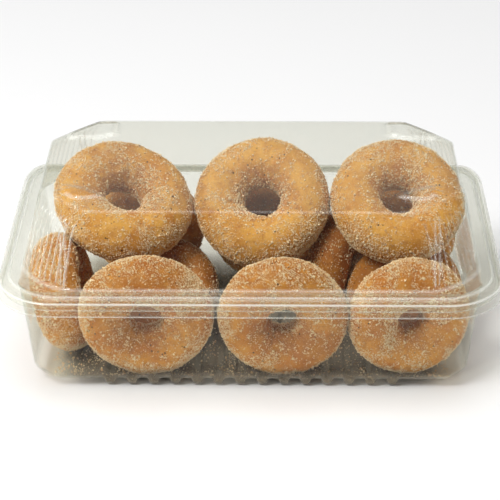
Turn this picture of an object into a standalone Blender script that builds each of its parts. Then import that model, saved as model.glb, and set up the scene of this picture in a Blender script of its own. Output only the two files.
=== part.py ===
"""Clear hinged clamshell box holding thirteen sugared ring doughnuts.

World frame: X runs along the box's width, Y from its front to its hinge and Z up.
The origin is under the middle of the rim, on the plane that the floor ribs rest on.
The sheet is thermoformed, so tray and lid are each one skin of even thickness.
"""

import math
from dataclasses import dataclass

import bmesh
import bpy
from mathutils import Matrix, Vector

MM = 0.001

# Sheet and rim sizes shared by the tray and the lid
SHEET = 0.6 * MM
RIM_HALF_WIDTH = 131.0 * MM
RIM_HALF_DEPTH = 81.4 * MM
FLANGE_WIDTH = 12.5 * MM
NESTING_GAP = 0.3 * MM
FLANGE_TOP_Z = 62.75 * MM
FLANGE_STEP_DROP = 1.5 * MM
FLANGE_STEP_INSET = 6.0 * MM
FLANGE_STEP_RUN = 1.5 * MM
FLANGE_STEP_SHIFT = 0.9 * MM
FRONT_RIM_CORNER = (30.0 * MM, 30.0 * MM)
BACK_RIM_CORNER = (11.0 * MM, 23.0 * MM)

# Tray
FLOOR_Z = 3.0 * MM
FLOOR_HALF_WIDTH = 114.2 * MM
FLOOR_HALF_DEPTH = 63.8 * MM
FLOOR_EDGE_RADIUS = 9.0 * MM
TRAY_CORNER = 10.0 * MM
TRAY_LIP_DROP = 3.2 * MM
TRAY_RIM_INSET = 2.2 * MM
RIB_COUNT = 14
RIB_PITCH = 11.4 * MM
RIB_HALF_WIDTH = 3.4 * MM
RIB_FLAT_HALF_WIDTH = 2.2 * MM
RIB_CENTRE_X = 0.6 * MM
RIB_END_SHARE = 1.1

# Lid
LID_TOP_Z = 101.0 * MM
LID_HALF_WIDTH = 109.6 * MM
LID_HALF_DEPTH = 56.5 * MM
LID_EDGE_RADIUS = 3.0 * MM
LID_TOP_CORNER = 22.8 * MM
LID_FOOT_CORNER = 25.0 * MM
SKIRT_BOTTOM_Z = 53.9 * MM
SKIRT_FLARE = 0.8 * MM
FLUTE_DEPTH = 0.45 * MM
FLUTE_TOP_DROP = 7.0 * MM
FLUTE_FOOT_RISE = 4.0 * MM
LUG_SPLIT_X = 72.0 * MM
LUG_SPLIT_Y = 22.0 * MM
LUG_RISE = 1.6 * MM
LUG_FOOT_SHARE = 0.66
LUG_CROWN_SHARE = 0.55

# Doughnut mesh
RING_STEPS = 24
TUBE_STEPS = 12
RING_WOBBLE = 0.02

# Colours
CLEAR_SHEET = (0.84, 0.88, 0.86, 1.0)
SUGARED_CRUST = (0.62, 0.37, 0.14, 1.0)


@dataclass(frozen=True)
class Doughnut:
    """One ring: where its middle is, which way its hole points and how big it is."""

    name: str
    centre_mm: tuple
    azimuth_deg: float
    elevation_deg: float
    ring_radius_mm: float
    half_width_mm: float
    half_thickness_mm: float


DOUGHNUTS = (
    Doughnut("doughnut_top_left", (-69.2, 6.3, 75.3), 32.4, 62.5, 23.7, 13.7, 13.7),
    Doughnut("doughnut_top_middle", (5.6, 12.8, 71.6), -5.6, 50.6, 23.2, 13.7, 13.7),
    Doughnut("doughnut_top_right", (78.9, 11.1, 73.3), 9.8, 55.7, 22.7, 13.7, 13.7),
    Doughnut("doughnut_front_left", (-54.3, -52.3, 38.8), 0.0, -5.3, 21.7, 13.3, 13.3),
    Doughnut("doughnut_front_middle", (17.1, -52.1, 38.0), 0.0, -5.3, 20.8, 13.4, 13.3),
    Doughnut("doughnut_front_right", (82.9, -48.2, 36.3), 10.7, 0.0, 19.4, 13.2, 13.2),
    Doughnut("doughnut_side_left", (-99.8, -22.8, 35.9), 88.2, 12.0, 19.1, 13.0, 12.9),
    Doughnut("doughnut_inner_left", (-49.5, -8.3, 27.7), -2.7, 56.0, 19.6, 12.5, 12.5),
    Doughnut("doughnut_inner_middle", (47.1, 18.4, 33.4), 69.8, -4.7, 17.2, 12.1, 12.1),
    Doughnut("doughnut_inner_right", (83.4, -6.1, 27.6), -9.7, 54.6, 18.9, 12.5, 12.5),
    Doughnut("doughnut_back_left", (-60.0, 49.7, 36.5), 180.0, 4.5, 20.0, 12.5, 12.5),
    Doughnut("doughnut_back_middle", (8.0, 50.1, 35.4), 180.0, 3.8, 19.0, 12.3, 12.3),
    Doughnut("doughnut_back_right", (85.8, 49.0, 34.0), 166.7, 0.0, 17.8, 12.0, 12.0),
)


def clear_scene():
    """Empties the open file."""
    for item in list(bpy.data.objects):
        bpy.data.objects.remove(item, do_unlink=True)


def surface(name, colour, roughness, alpha=1.0):
    """Makes a Principled material."""
    material = bpy.data.materials.new(name)
    material.use_nodes = True
    shader = material.node_tree.nodes["Principled BSDF"]
    shader.inputs["Base Color"].default_value = colour
    shader.inputs["Roughness"].default_value = roughness
    shader.inputs["Metallic"].default_value = 0.0
    shader.inputs["Alpha"].default_value = alpha
    return material


def corner_points(half_x, half_y, reach, power, steps, flute=0.0):
    """Rounds one corner, from its side to its front, as a superellipse.

    A power of 1 is a straight cut and a power of 2 is round. A flute moves every other
    point outward and the rest inward.
    """
    reach_x, reach_y = reach
    points = []
    for step in range(steps + 1):
        angle = math.pi / 2 * step / steps
        along_x = math.cos(angle) ** (2 / power) if step < steps else 0.0
        along_y = math.sin(angle) ** (2 / power)
        x = half_x - reach_x + reach_x * along_x
        y = half_y - reach_y + reach_y * along_y
        if 0 < step < steps:
            push = flute if step % 2 else -flute
            x += push * math.sqrt(0.5)
            y += push * math.sqrt(0.5)
        points.append((x, y))
    return points


def outline(half_x, front, back, z, front_corner, back_corner, power=2.0, steps=8,
            flute=0.0, front_stops=(), side_stops=()):
    """Lists a level ring's points by corner and by side, counter-clockwise from above."""
    near = corner_points(half_x, front, front_corner, power, steps, flute)
    far = corner_points(half_x, back, back_corner, power, steps, flute)
    return {
        "front_left": [Vector((-x, -y, z)) for x, y in near],
        "front": [Vector((x, -front, z)) for x in front_stops],
        "front_right": [Vector((x, -y, z)) for x, y in reversed(near)],
        "right": [Vector((half_x, y, z)) for y in side_stops],
        "back_right": [Vector((x, y, z)) for x, y in far],
        "back": [Vector((x, back, z)) for x in reversed(front_stops)],
        "back_left": [Vector((-x, y, z)) for x, y in reversed(far)],
        "left": [Vector((-half_x, y, z)) for y in reversed(side_stops)],
    }


CORNERS = ("front_left", "front_right", "back_right", "back_left")
SIDES = (("front_left", "front", "front_right"), ("front_right", "right", "back_right"),
         ("back_right", "back", "back_left"), ("back_left", "left", "front_left"))


def add_ring(mesh, ring):
    """Turns an outline's points into vertices."""
    return {part: [mesh.verts.new(point) for point in points] for part, points in ring.items()}


def join_rings(mesh, first, second, parts=CORNERS + ("front", "right", "back", "left")):
    """Puts faces between two rings, on the named corners and sides."""
    for corner in CORNERS:
        if corner in parts:
            low, high = first[corner], second[corner]
            for a in range(len(low) - 1):
                mesh.faces.new((low[a], low[a + 1], high[a + 1], high[a]))
    for before, side, after in SIDES:
        if side not in parts:
            continue
        low = [first[before][-1], *first[side], first[after][0]]
        high = [second[before][-1], *second[side], second[after][0]]
        if len(low) == len(high):
            for a in range(len(low) - 1):
                mesh.faces.new((low[a], low[a + 1], high[a + 1], high[a]))
        else:
            mesh.faces.new(low + high[::-1])


def finish_sheet(mesh, name, material, outward):
    """Makes an object of the outer skin and gives it the sheet's thickness inward.

    The largest level face, the floor or the top, shows which way is outward.
    """
    bmesh.ops.recalc_face_normals(mesh, faces=mesh.faces)
    largest = max(mesh.faces, key=lambda face: face.calc_area() * abs(face.normal.z))
    if largest.normal.z * outward < 0:
        bmesh.ops.reverse_faces(mesh, faces=mesh.faces)
    data = bpy.data.meshes.new(name)
    mesh.to_mesh(data)
    mesh.free()
    data.materials.append(material)
    sheet = bpy.data.objects.new(name, data)
    bpy.context.collection.objects.link(sheet)
    thickness = sheet.modifiers.new("sheet", "SOLIDIFY")
    thickness.thickness = SHEET
    thickness.offset = -1.0
    thickness.use_even_offset = True
    thickness.use_quality_normals = True
    return sheet


def rib_stops():
    """Lists the floor ribs' edges along X, with the depth of each below the floor."""
    stops = []
    for rib in range(RIB_COUNT):
        middle = RIB_CENTRE_X + (rib - (RIB_COUNT - 1) / 2) * RIB_PITCH
        for offset, drop in ((-RIB_HALF_WIDTH, 0.0), (-RIB_FLAT_HALF_WIDTH, FLOOR_Z),
                             (RIB_FLAT_HALF_WIDTH, FLOOR_Z), (RIB_HALF_WIDTH, 0.0)):
            stops.append((middle + offset, drop))
    return stops


def floor_edge_rings():
    """Lists the tray's lowest rings, up its rounded lower edge, which the ribs run into."""
    stops = rib_stops()
    xs = tuple(x for x, _ in stops)
    corner = (TRAY_CORNER, TRAY_CORNER)
    rings = []
    for angle, share in ((0.0, 1.0), (35.0, RIB_END_SHARE), (65.0, 0.0), (90.0, 0.0)):
        inset = FLOOR_EDGE_RADIUS * (1 - math.sin(math.radians(angle)))
        rise = FLOOR_EDGE_RADIUS * (1 - math.cos(math.radians(angle)))
        ring = outline(FLOOR_HALF_WIDTH - inset, FLOOR_HALF_DEPTH - inset,
                       FLOOR_HALF_DEPTH - inset, FLOOR_Z + rise, corner, corner,
                       power=1.3, front_stops=xs if angle < 90.0 else ())
        for side, drops in (("front", stops), ("back", stops[::-1])):
            for point, (_, drop) in zip(ring[side], drops):
                point.z -= drop * share
        rings.append(ring)
    return rings


def tray_rim_rings():
    """Lists the tray's wall top, its stepped flange and its turned-down lip."""
    under = FLANGE_TOP_Z - 2 * SHEET - NESTING_GAP
    low = under - FLANGE_STEP_DROP
    step_in = FLANGE_STEP_INSET + FLANGE_STEP_SHIFT
    rings = []
    for inset, back_inset, z in ((FLANGE_WIDTH, FLANGE_WIDTH, under),
                                 (step_in, step_in, under),
                                 (step_in - FLANGE_STEP_RUN, step_in - FLANGE_STEP_RUN, low),
                                 (TRAY_RIM_INSET + SHEET, SHEET, low),
                                 (TRAY_RIM_INSET + SHEET, SHEET, low - TRAY_LIP_DROP)):
        if inset == FLANGE_WIDTH:
            front_corner = back_corner = (TRAY_CORNER, TRAY_CORNER)
            power = 1.3
        else:
            front_corner = tuple(reach - inset / 2 for reach in FRONT_RIM_CORNER)
            back_corner = tuple(reach - inset / 2 for reach in BACK_RIM_CORNER)
            power = 1.9
        rings.append(outline(RIM_HALF_WIDTH - inset, RIM_HALF_DEPTH - inset,
                             RIM_HALF_DEPTH - back_inset, z, front_corner, back_corner,
                             power=power))
    return rings


def close_floor(mesh, ring):
    """Lays the ribbed floor inside the tray's lowest ring, in strips from front to back."""
    front, back = ring["front"], ring["back"][::-1]
    for a in range(len(front) - 1):
        mesh.faces.new((front[a], back[a], back[a + 1], front[a + 1]))
    mesh.faces.new((*ring["back_left"], *ring["front_left"], front[0], back[0]))
    mesh.faces.new((*ring["front_right"], *ring["back_right"], back[-1], front[-1]))


def make_tray(material):
    """Makes the tray: ribbed floor, rounded lower edge, walls, flange and lip."""
    mesh = bmesh.new()
    rings = [add_ring(mesh, ring) for ring in floor_edge_rings() + tray_rim_rings()]
    close_floor(mesh, rings[0])
    for lower, upper in zip(rings, rings[1:]):
        join_rings(mesh, lower, upper)
    return finish_sheet(mesh, "tray", material, outward=-1)


def lid_wall_rings():
    """Lists the lid's rings from its rounded top edge down its fluted wall."""
    rings = []
    for angle in (0.0, 45.0, 80.0):
        inset = LID_EDGE_RADIUS * (1 - math.sin(math.radians(angle)))
        drop = LID_EDGE_RADIUS * (1 - math.cos(math.radians(angle)))
        corner = (LID_TOP_CORNER - inset * 0.4,) * 2
        first = angle == 0.0
        rings.append(outline(
            LID_HALF_WIDTH - inset, LID_HALF_DEPTH - inset, LID_HALF_DEPTH - inset,
            LID_TOP_Z - drop, corner, corner, power=1.15, steps=14,
            front_stops=(-LUG_SPLIT_X, LUG_SPLIT_X) if first else (),
            side_stops=(-LUG_SPLIT_Y, LUG_SPLIT_Y) if first else ()))
    foot_x, foot_y = RIM_HALF_WIDTH - FLANGE_WIDTH, RIM_HALF_DEPTH - FLANGE_WIDTH
    top_z = LID_TOP_Z - LID_EDGE_RADIUS
    for z, flute in ((LID_TOP_Z - FLUTE_TOP_DROP, 0.0),
                     (LID_TOP_Z - FLUTE_TOP_DROP - FLUTE_FOOT_RISE, FLUTE_DEPTH),
                     (FLANGE_TOP_Z + FLUTE_FOOT_RISE, FLUTE_DEPTH), (FLANGE_TOP_Z, 0.0)):
        share = (top_z - z) / (top_z - FLANGE_TOP_Z)
        corner = (LID_TOP_CORNER + share * (LID_FOOT_CORNER - LID_TOP_CORNER),) * 2
        rings.append(outline(
            LID_HALF_WIDTH + share * (foot_x - LID_HALF_WIDTH),
            LID_HALF_DEPTH + share * (foot_y - LID_HALF_DEPTH),
            LID_HALF_DEPTH + share * (foot_y - LID_HALF_DEPTH), z, corner, corner,
            power=1.15 + 0.35 * share, steps=14, flute=flute))
    return rings


def lid_rim_rings():
    """Lists the lid's stepped flange and its skirt."""
    low = FLANGE_TOP_Z - FLANGE_STEP_DROP
    step_out = FLANGE_STEP_INSET - FLANGE_STEP_RUN
    rings = []
    for inset, back_inset, z in ((FLANGE_STEP_INSET, FLANGE_STEP_INSET, FLANGE_TOP_Z),
                                 (step_out, step_out, low), (SKIRT_FLARE, 0.0, low),
                                 (0.0, 0.0, SKIRT_BOTTOM_Z)):
        front_corner = tuple(reach - inset / 2 for reach in FRONT_RIM_CORNER)
        back_corner = tuple(reach - inset / 2 for reach in BACK_RIM_CORNER)
        rings.append(outline(RIM_HALF_WIDTH - inset, RIM_HALF_DEPTH - inset,
                             RIM_HALF_DEPTH - back_inset, z, front_corner, back_corner,
                             power=1.9, steps=14))
    return rings


def raise_lug(mesh, face):
    """Replaces a flat corner face with a flat border round a raised pad."""
    border = list(face.verts)
    middle = face.calc_center_median()
    foot = [mesh.verts.new(middle + (v.co - middle) * LUG_FOOT_SHARE) for v in border]
    crown = [mesh.verts.new(middle + (v.co - middle) * LUG_CROWN_SHARE) for v in border]
    for vertex in crown:
        vertex.co.z += LUG_RISE
    mesh.faces.remove(face)
    for a in range(len(border)):
        b = (a + 1) % len(border)
        mesh.faces.new((border[a], border[b], foot[b], foot[a]))
        mesh.faces.new((foot[a], foot[b], crown[b], crown[a]))
    mesh.faces.new(crown)


def close_lid_top(mesh, ring):
    """Lays the lid's top inside its first ring and raises a stacking lug at each corner."""
    inner = {}
    for x in (-LUG_SPLIT_X, LUG_SPLIT_X):
        for y in (-LUG_SPLIT_Y, LUG_SPLIT_Y):
            inner[x < 0, y < 0] = mesh.verts.new((x, y, LID_TOP_Z))
    front, right, back, left = (ring[side] for side in ("front", "right", "back", "left"))
    near_left, near_right = inner[True, True], inner[False, True]
    far_left, far_right = inner[True, False], inner[False, False]
    corner_faces = [
        mesh.faces.new((*ring["front_left"], front[0], near_left, left[1])),
        mesh.faces.new((*ring["front_right"], right[0], near_right, front[1])),
        mesh.faces.new((*ring["back_right"], back[0], far_right, right[1])),
        mesh.faces.new((*ring["back_left"], left[0], far_left, back[1]))]
    mesh.faces.new((front[0], front[1], near_right, near_left))
    mesh.faces.new((right[0], right[1], far_right, near_right))
    mesh.faces.new((back[0], back[1], far_left, far_right))
    mesh.faces.new((left[0], left[1], near_left, far_left))
    mesh.faces.new((near_left, near_right, far_right, far_left))
    for face in corner_faces:
        raise_lug(mesh, face)


def make_lid(material):
    """Makes the lid: top with lugs, fluted walls, flange and a skirt on three sides."""
    mesh = bmesh.new()
    rings = [add_ring(mesh, ring) for ring in lid_wall_rings() + lid_rim_rings()]
    close_lid_top(mesh, rings[0])
    for upper, lower in zip(rings[:-2], rings[1:-1]):
        join_rings(mesh, upper, lower)
    join_rings(mesh, rings[-2], rings[-1], ("front_left", "front", "front_right", "left", "right"))
    spare = [vertex for vertex in mesh.verts if not vertex.link_faces]
    bmesh.ops.delete(mesh, geom=spare, context="VERTS")
    return finish_sheet(mesh, "lid", material, outward=1)


def make_doughnut(spec, number, material):
    """Makes one slightly uneven ring, its hole along its own Z axis."""
    mesh = bmesh.new()
    loops = []
    for step in range(RING_STEPS):
        turn = 2 * math.pi * step / RING_STEPS
        swell = 1 - RING_WOBBLE * (1 + math.sin(2 * turn + 1.7 * number)) / 2
        swell -= RING_WOBBLE * (1 + math.sin(3 * turn + 2.9 * number)) / 2
        loop = []
        for part in range(TUBE_STEPS):
            around = 2 * math.pi * part / TUBE_STEPS
            radius = (spec.ring_radius_mm + swell * spec.half_width_mm * math.cos(around)) * MM
            height = swell * spec.half_thickness_mm * math.sin(around) * MM
            loop.append(mesh.verts.new((radius * math.cos(turn), radius * math.sin(turn), height)))
        loops.append(loop)
    for step in range(RING_STEPS):
        here, there = loops[step], loops[(step + 1) % RING_STEPS]
        for part in range(TUBE_STEPS):
            after = (part + 1) % TUBE_STEPS
            mesh.faces.new((here[part], there[part], there[after], here[after]))
    bmesh.ops.recalc_face_normals(mesh, faces=mesh.faces)
    data = bpy.data.meshes.new(spec.name)
    mesh.to_mesh(data)
    mesh.free()
    data.shade_smooth()
    data.materials.append(material)
    doughnut = bpy.data.objects.new(spec.name, data)
    bpy.context.collection.objects.link(doughnut)
    doughnut.location = Vector(spec.centre_mm) * MM
    doughnut.rotation_euler = (math.radians(90.0 - spec.elevation_deg), 0.0,
                               math.radians(spec.azimuth_deg))
    return doughnut


def place_hinge(lid):
    """Puts the lid's origin on the fold line behind the two flanges."""
    hinge = Vector((0.0, RIM_HALF_DEPTH + NESTING_GAP / 2,
                    FLANGE_TOP_Z - FLANGE_STEP_DROP - SHEET - NESTING_GAP / 2))
    lid.data.transform(Matrix.Translation(-hinge))
    lid.location = hinge


def main():
    """Builds the tray, the lid and the doughnuts in turn."""
    clear_scene()
    tray = make_tray(surface("tray_sheet", CLEAR_SHEET, 0.08, 0.35))
    lid = make_lid(surface("lid_sheet", CLEAR_SHEET, 0.08, 0.35))
    place_hinge(lid)
    for number, spec in enumerate(DOUGHNUTS):
        make_doughnut(spec, number, surface(spec.name + "_crust", SUGARED_CRUST, 0.85))
    print("built", tray.name, lid.name, "and", len(DOUGHNUTS), "doughnuts")


main()
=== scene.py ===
"""Looks of a clear hinged clamshell box filled with sugared ring doughnuts.

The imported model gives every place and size. This script dresses it: a thin clear
tray and lid with ribs, flutes, pillars and lugs, uneven fried rings with sugar
grains on them, and loose sugar on the tray's floor.

Lengths are in metres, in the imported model's frame, unless a name ends in mm.
"""

from __future__ import annotations

import logging
import math
from dataclasses import dataclass, field, replace
from enum import Enum
from typing import Any, NamedTuple, Sequence

import bmesh
import bpy
import numpy as np
from mathutils import Euler, Matrix, Vector, noise


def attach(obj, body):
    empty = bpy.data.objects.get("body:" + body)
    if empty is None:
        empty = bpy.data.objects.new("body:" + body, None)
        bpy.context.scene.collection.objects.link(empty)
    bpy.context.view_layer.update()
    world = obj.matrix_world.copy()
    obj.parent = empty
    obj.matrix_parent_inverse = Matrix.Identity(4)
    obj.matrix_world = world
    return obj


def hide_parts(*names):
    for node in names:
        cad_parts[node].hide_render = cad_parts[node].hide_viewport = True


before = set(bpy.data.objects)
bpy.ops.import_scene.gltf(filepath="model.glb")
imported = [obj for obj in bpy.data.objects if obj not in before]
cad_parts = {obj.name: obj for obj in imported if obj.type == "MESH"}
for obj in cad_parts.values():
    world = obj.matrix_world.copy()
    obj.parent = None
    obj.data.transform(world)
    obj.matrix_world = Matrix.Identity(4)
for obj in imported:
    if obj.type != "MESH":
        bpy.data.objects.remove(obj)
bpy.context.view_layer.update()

LOG = logging.getLogger("doughnut_box")
MM = 0.001
# The vertex attribute that holds the painted highlight lines along the sheet's bends.
HIGHLIGHT_ATTRIBUTE = "bend"
Rgba = tuple[float, float, float, float]

# Sizes shared with the CAD source
SHEET = 0.6 * MM
RIM_HALF_WIDTH = 131.0 * MM
RIM_HALF_DEPTH = 81.4 * MM
FLANGE_WIDTH = 12.5 * MM
NESTING_GAP = 0.3 * MM
FLANGE_TOP_Z = 62.75 * MM
FLANGE_STEP_DROP = 1.5 * MM
WALL_FOOT_HALF_WIDTH = RIM_HALF_WIDTH - FLANGE_WIDTH
WALL_FOOT_HALF_DEPTH = RIM_HALF_DEPTH - FLANGE_WIDTH
TRAY_FLANGE_Z = FLANGE_TOP_Z - 2 * SHEET - NESTING_GAP
FRONT_RIM_CORNER = (30.0 * MM, 30.0 * MM)
BACK_RIM_CORNER = (11.0 * MM, 23.0 * MM)
RIM_CORNER_POWER = 1.9
FLOOR_Z = 3.0 * MM
FLOOR_HALF_WIDTH = 114.2 * MM
FLOOR_HALF_DEPTH = 63.8 * MM
FLOOR_EDGE_RADIUS = 9.0 * MM
TRAY_CORNER = 10.0 * MM
RIB_COUNT = 14
RIB_PITCH = 11.4 * MM
RIB_FOOT_HALF_WIDTH = 3.6 * MM
RIB_FLAT_HALF_WIDTH = 1.5 * MM
RIB_CENTRE_X = 0.6 * MM
LID_TOP_Z = 101.0 * MM
LID_HALF_WIDTH = 109.6 * MM
LID_HALF_DEPTH = 56.5 * MM
LID_EDGE_RADIUS = 3.0 * MM
LID_TOP_CORNER = 22.8 * MM
LID_FOOT_CORNER = 25.0 * MM
SKIRT_BOTTOM_Z = 53.9 * MM


class Body(str, Enum):
    """The rigid bodies that pieces ride on."""

    BASE = "base"
    LID = "lid"


class Socket:
    """A shader value that reads as arithmetic."""

    def __init__(self, graph: "Graph", output: Any) -> None:
        """Keeps the graph to add nodes to and the node output or number it stands for."""
        self.graph = graph
        self.output = output

    def _maths(self, operation: str, first: Any, second: Any) -> "Socket":
        """Combines two values in this one's graph."""
        return self.graph.maths(operation, first, second)

    def __add__(self, other: Any) -> "Socket":
        return self._maths("ADD", self, other)

    __radd__ = __add__

    def __sub__(self, other: Any) -> "Socket":
        return self._maths("SUBTRACT", self, other)

    def __rsub__(self, other: Any) -> "Socket":
        return self._maths("SUBTRACT", other, self)

    def __mul__(self, other: Any) -> "Socket":
        return self._maths("MULTIPLY", self, other)

    __rmul__ = __mul__

    def __truediv__(self, other: Any) -> "Socket":
        return self._maths("DIVIDE", self, other)

    def __pow__(self, other: Any) -> "Socket":
        return self._maths("POWER", self, other)

    def ramp(self, low: float, high: float) -> "Socket":
        """Rises smoothly from 0 at low to 1 at high, and falls where low is above high."""
        node = self.graph.node(
            "ShaderNodeMapRange",
            {"interpolation_type": "SMOOTHSTEP"},
            {0: self, 1: min(low, high), 2: max(low, high),
             3: 0.0 if low < high else 1.0, 4: 1.0 if low < high else 0.0},
        )
        return Socket(self.graph, node.outputs[0])


class Graph:
    """A material's node tree, filled from code."""

    def __init__(self, name: str) -> None:
        """Starts an empty material of that name."""
        self.material = bpy.data.materials.new(name)
        self.material.use_nodes = True
        self.tree = self.material.node_tree
        self.tree.nodes.clear()

    def node(self, kind: str, settings: dict[str, Any] | None = None,
             values: dict[Any, Any] | None = None) -> Any:
        """Adds a node.

        Args:
            kind: The node's type name.
            settings: Properties set before any socket, as some change the sockets.
            values: Socket values or links, by socket name or index.

        Returns:
            The new node.
        """
        node = self.tree.nodes.new(kind)
        for key, value in (settings or {}).items():
            setattr(node, key, value)
        for key, value in (values or {}).items():
            self.feed(node.inputs[key], value)
        return node

    def feed(self, target: Any, value: Any) -> None:
        """Links a socket to a value's output, or sets it to a plain value."""
        if isinstance(value, Socket):
            self.feed(target, value.output)
        elif isinstance(value, bpy.types.NodeSocket):
            self.tree.links.new(value, target)
        else:
            target.default_value = value

    def maths(self, operation: str, first: Any, second: Any = None) -> Socket:
        """Combines one or two numbers by a Math node."""
        values = {0: first} if second is None else {0: first, 1: second}
        return Socket(self, self.node("ShaderNodeMath", {"operation": operation}, values).outputs[0])

    def vector(self, operation: str, first: Any, second: Any) -> Socket:
        """Combines two vectors by a Vector Math node."""
        node = self.node("ShaderNodeVectorMath", {"operation": operation}, {0: first, 1: second})
        return Socket(self, node.outputs[0])

    def length(self, vector: Socket) -> Socket:
        """Gives a vector's length."""
        node = self.node("ShaderNodeVectorMath", {"operation": "LENGTH"}, {0: vector})
        return Socket(self, node.outputs["Value"])

    def split(self, vector: Socket) -> tuple[Socket, Socket, Socket]:
        """Splits a vector into its X, Y and Z."""
        node = self.node("ShaderNodeSeparateXYZ", None, {0: vector})
        x, y, z = (Socket(self, output) for output in node.outputs)
        return x, y, z

    def colour_mix(self, factor: Any, first: Any, second: Any) -> Socket:
        """Mixes two colours by a factor."""
        node = self.node("ShaderNodeMix", {"data_type": "RGBA"},
                         {0: factor, 6: first, 7: second})
        return Socket(self, node.outputs[2])

    def diffuse(self, colour: Rgba) -> Any:
        """Gives a diffuse shader of one colour."""
        return self.node("ShaderNodeBsdfDiffuse", None, {"Color": colour}).outputs[0]

    def mix_shader(self, factor: Socket, first: Any, second: Any) -> Any:
        """Mixes two shaders by a factor."""
        return self.node("ShaderNodeMixShader", None, {0: factor, 1: first, 2: second}).outputs[0]

    def principled(self, values: dict[str, Any]) -> Any:
        """Gives a Principled shader with the named inputs set."""
        return self.node("ShaderNodeBsdfPrincipled", None, values).outputs[0]

    def place(self) -> Socket:
        """Gives the point's place in its object's own frame."""
        return Socket(self, self.node("ShaderNodeTexCoord").outputs["Object"])

    def place_about(self, centre: Vector, turn: Euler) -> Socket:
        """Gives the point's place in a frame with its own centre and turn."""
        moved = self.vector("SUBTRACT", self.place(), centre)
        turned = self.node("ShaderNodeVectorRotate",
                           {"rotation_type": "EULER_XYZ", "invert": True},
                           {"Vector": moved, "Rotation": turn})
        return Socket(self, turned.outputs[0])

    def noise(self, place: Socket, scale: float, detail: float = 3.0,
              roughness: float = 0.55) -> Socket:
        """Gives fractal noise from 0 to 1, with about scale bumps in a metre."""
        node = self.node("ShaderNodeTexNoise", {"noise_dimensions": "3D"},
                         {"Vector": place, "Scale": scale, "Detail": detail,
                          "Roughness": roughness})
        return Socket(self, node.outputs["Fac"])

    def cells(self, place: Socket, scale: float) -> Socket:
        """Gives the distance to the nearest of scattered points, in cell widths."""
        node = self.node("ShaderNodeTexVoronoi", {"feature": "F1"},
                         {"Vector": place, "Scale": scale})
        return Socket(self, node.outputs["Distance"])

    def bump(self, height: Socket, distance: float, strength: float = 1.0) -> Socket:
        """Turns a height from 0 to 1 into a normal."""
        node = self.node("ShaderNodeBump", None,
                         {"Strength": strength, "Distance": distance, "Height": height})
        return Socket(self, node.outputs[0])

    def finish(self, shader: Any) -> bpy.types.Material:
        """Ends the tree in its output and returns the material."""
        self.node("ShaderNodeOutputMaterial", None, {0: shader})
        return self.material


@dataclass(frozen=True)
class ClearSheet:
    """The finish of thin clear thermoformed sheet."""

    name: str
    passed: Rgba = (0.972, 0.973, 0.950, 1.0)
    film: Rgba = (0.72, 0.73, 0.66, 1.0)
    haze: float = 0.002
    dust: float = 0.006
    edge_haze: float = 0.30
    # White painted along bends, ridges and steps as highlight lines.
    highlight_tone: Rgba = (0.95, 0.96, 0.92, 1.0)
    highlight_strength: float = 0.30
    gloss_tone: Rgba = (0.95, 0.97, 0.96, 1.0)
    gloss_roughness: float = 0.06
    sheen: float = 0.016
    edge_sheen: float = 0.85
    waviness: float = 0.10 * MM
    # A dark film of sugar and grease on the tray's floor, which also paints the shade under the rings.
    residue_and_shade_tone: Rgba = (0.26, 0.215, 0.155, 1.0)
    residue_and_shade: float = 0.0

    def build(self) -> bpy.types.Material:
        """Makes the material: clear, with sheen by angle, haze, painted highlights along bends and soft
        waves, and on the tray a dark floor film of residue and painted shade.
        """
        graph = Graph(self.name)
        place = graph.place()
        normal = graph.bump(graph.noise(place, 45.0, 1.5), self.waviness)
        weight = graph.node("ShaderNodeLayerWeight", None, {"Blend": 0.5, "Normal": normal})
        facing = Socket(graph, weight.outputs["Facing"])
        dust = graph.noise(place, 160.0, 4.0).ramp(0.45, 0.75) * self.dust
        film = dust + self.haze + facing ** 4.0 * self.edge_haze
        clear = graph.node("ShaderNodeBsdfTransparent", None, {"Color": self.passed})
        body = graph.mix_shader(film, clear.outputs[0], graph.diffuse(self.film))
        # Painted highlights: white mixed in along the stored bends, ridges and steps.
        stored = graph.node("ShaderNodeAttribute", {"attribute_name": HIGHLIGHT_ATTRIBUTE})
        bend = Socket(graph, stored.outputs["Fac"])
        body = graph.mix_shader(bend * self.highlight_strength, body, graph.diffuse(self.highlight_tone))
        # Dark floor film: sugar and grease, with painted shade under the rings.
        if self.residue_and_shade:
            body = graph.mix_shader(self.residue_and_shade_share(graph, place), body,
                                    graph.diffuse(self.residue_and_shade_tone))
        gloss = graph.node("ShaderNodeBsdfGlossy", None,
                           {"Color": self.gloss_tone, "Roughness": self.gloss_roughness,
                            "Normal": normal})
        sheen = self.sheen + facing ** 5.0 * self.edge_sheen
        return graph.finish(graph.mix_shader(sheen, body, gloss.outputs[0]))

    def residue_and_shade_share(self, graph: Graph, place: Socket) -> Socket:
        """Gives how far a dark film clouds the sheet on and near the floor, not at its ends: sugar and
        grease, strongest under the rows of rings as painted shade.
        """
        along, across, height = graph.split(place)
        ends = graph.maths("ABSOLUTE", along).ramp(104.0 * MM, 84.0 * MM)
        # Stronger under the rows of rings: painted shade.
        middle = graph.maths("ABSOLUTE", across).ramp(52.0 * MM, 34.0 * MM) * 0.5 + 1.0
        low = height.ramp(14.0 * MM, 2.0 * MM) * ends * middle
        patches = graph.noise(place, 70.0, 4.0, 0.6).ramp(0.30, 0.62) * 0.3 + 0.7
        return low * patches * self.residue_and_shade


@dataclass(frozen=True)
class CrustTones:
    """A crust's colours, from its palest patches to round its hole, and two shares of them.

    The dusting is how far sugar dust covers it. The crown is how far painted shade darkens its upper
    part, high in the box.
    """

    light: Rgba
    golden: Rgba
    brown: Rgba
    spice: Rgba
    dusting: float
    crown: float = 0.0


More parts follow.
